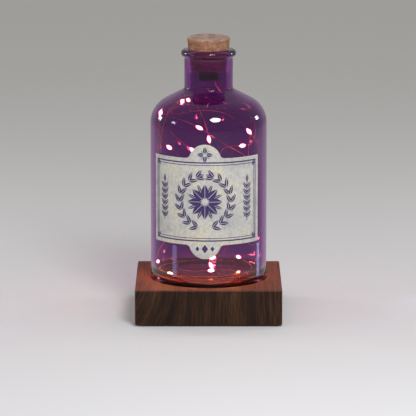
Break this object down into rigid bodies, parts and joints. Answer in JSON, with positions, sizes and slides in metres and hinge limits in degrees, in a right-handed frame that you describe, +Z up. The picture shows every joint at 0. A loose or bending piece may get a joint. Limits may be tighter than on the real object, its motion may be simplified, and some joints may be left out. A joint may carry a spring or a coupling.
{
  "type": "bottle light",
  "caption": "Round coloured glass bottle with a tapered cork, a paper label and a battery light string inside, seated in a shallow recess of a square wooden block.",
  "frame": {"origin": "centre of the underside, on the surface the felt pads stand on", "axes": "+Z up through the bottle and its cork, label towards -Y, +X to the viewer's right"},
  "size_m": [0.125, 0.125, 0.2402],
  "materials": {
    "walnut": "oiled",
    "felt": "felt",
    "violet_glass": "blown, clear",
    "paper": "uncoated",
    "cork": "pressed cork granules",
    "black_plastic": "moulded",
    "cell_steel": "plated",
    "contact_strip": "nickel plated",
    "board": "solder mask",
    "resistor": "chip",
    "switch_shell": "pressed",
    "switch_knob": "moulded",
    "rubber": "soft",
    "copper_wire": "lacquered copper",
    "led_resin": "clear cast resin",
    "led_chip": "lit"
  },
  "bodies": {
    "stand": {"wood_base": "walnut", "felt_pads": "felt"},
    "bottle": {"glass_bottle": "violet_glass", "paper_label": "paper", "string_wire": "copper_wire", "lead_wire": "copper_wire", "led_chips": "led_chip", "led_beads": "led_resin"},
    "battery_unit": {"battery_tray": "black_plastic", "end_cover": "black_plastic", "button_cell_1": "cell_steel", "button_cell_2": "cell_steel", "button_cell_3": "cell_steel", "positive_contact": "contact_strip", "negative_leaf": "contact_strip", "circuit_board": "board", "series_resistor": "resistor", "switch_housing": "switch_shell", "wire_grommet": "rubber", "lead_stub": "copper_wire"},
    "stopper": {"cork_stopper": "cork", "battery_sleeve": "black_plastic"},
    "switch": {"switch_knob": "switch_knob"}
  },
  "joints": [
    {"name": "bottle_lift", "type": "slide", "parent": "stand", "child": "bottle", "axis": [0, 0, 1], "range_m": [0, 0.03]},
    {"name": "cork_lift", "type": "slide", "parent": "bottle", "child": "battery_unit", "axis": [0, 0, 1], "range_m": [0, 0.045], "deforming": ["lead_wire"]},
    {"name": "stopper_pull", "type": "slide", "parent": "battery_unit", "child": "stopper", "axis": [0, 0, 1], "range_m": [0, 0.022]},
    {"name": "switch_slide", "type": "slide", "parent": "battery_unit", "child": "switch", "axis": [1, 0, 0], "range_m": [0, 0.002]}
  ]
}
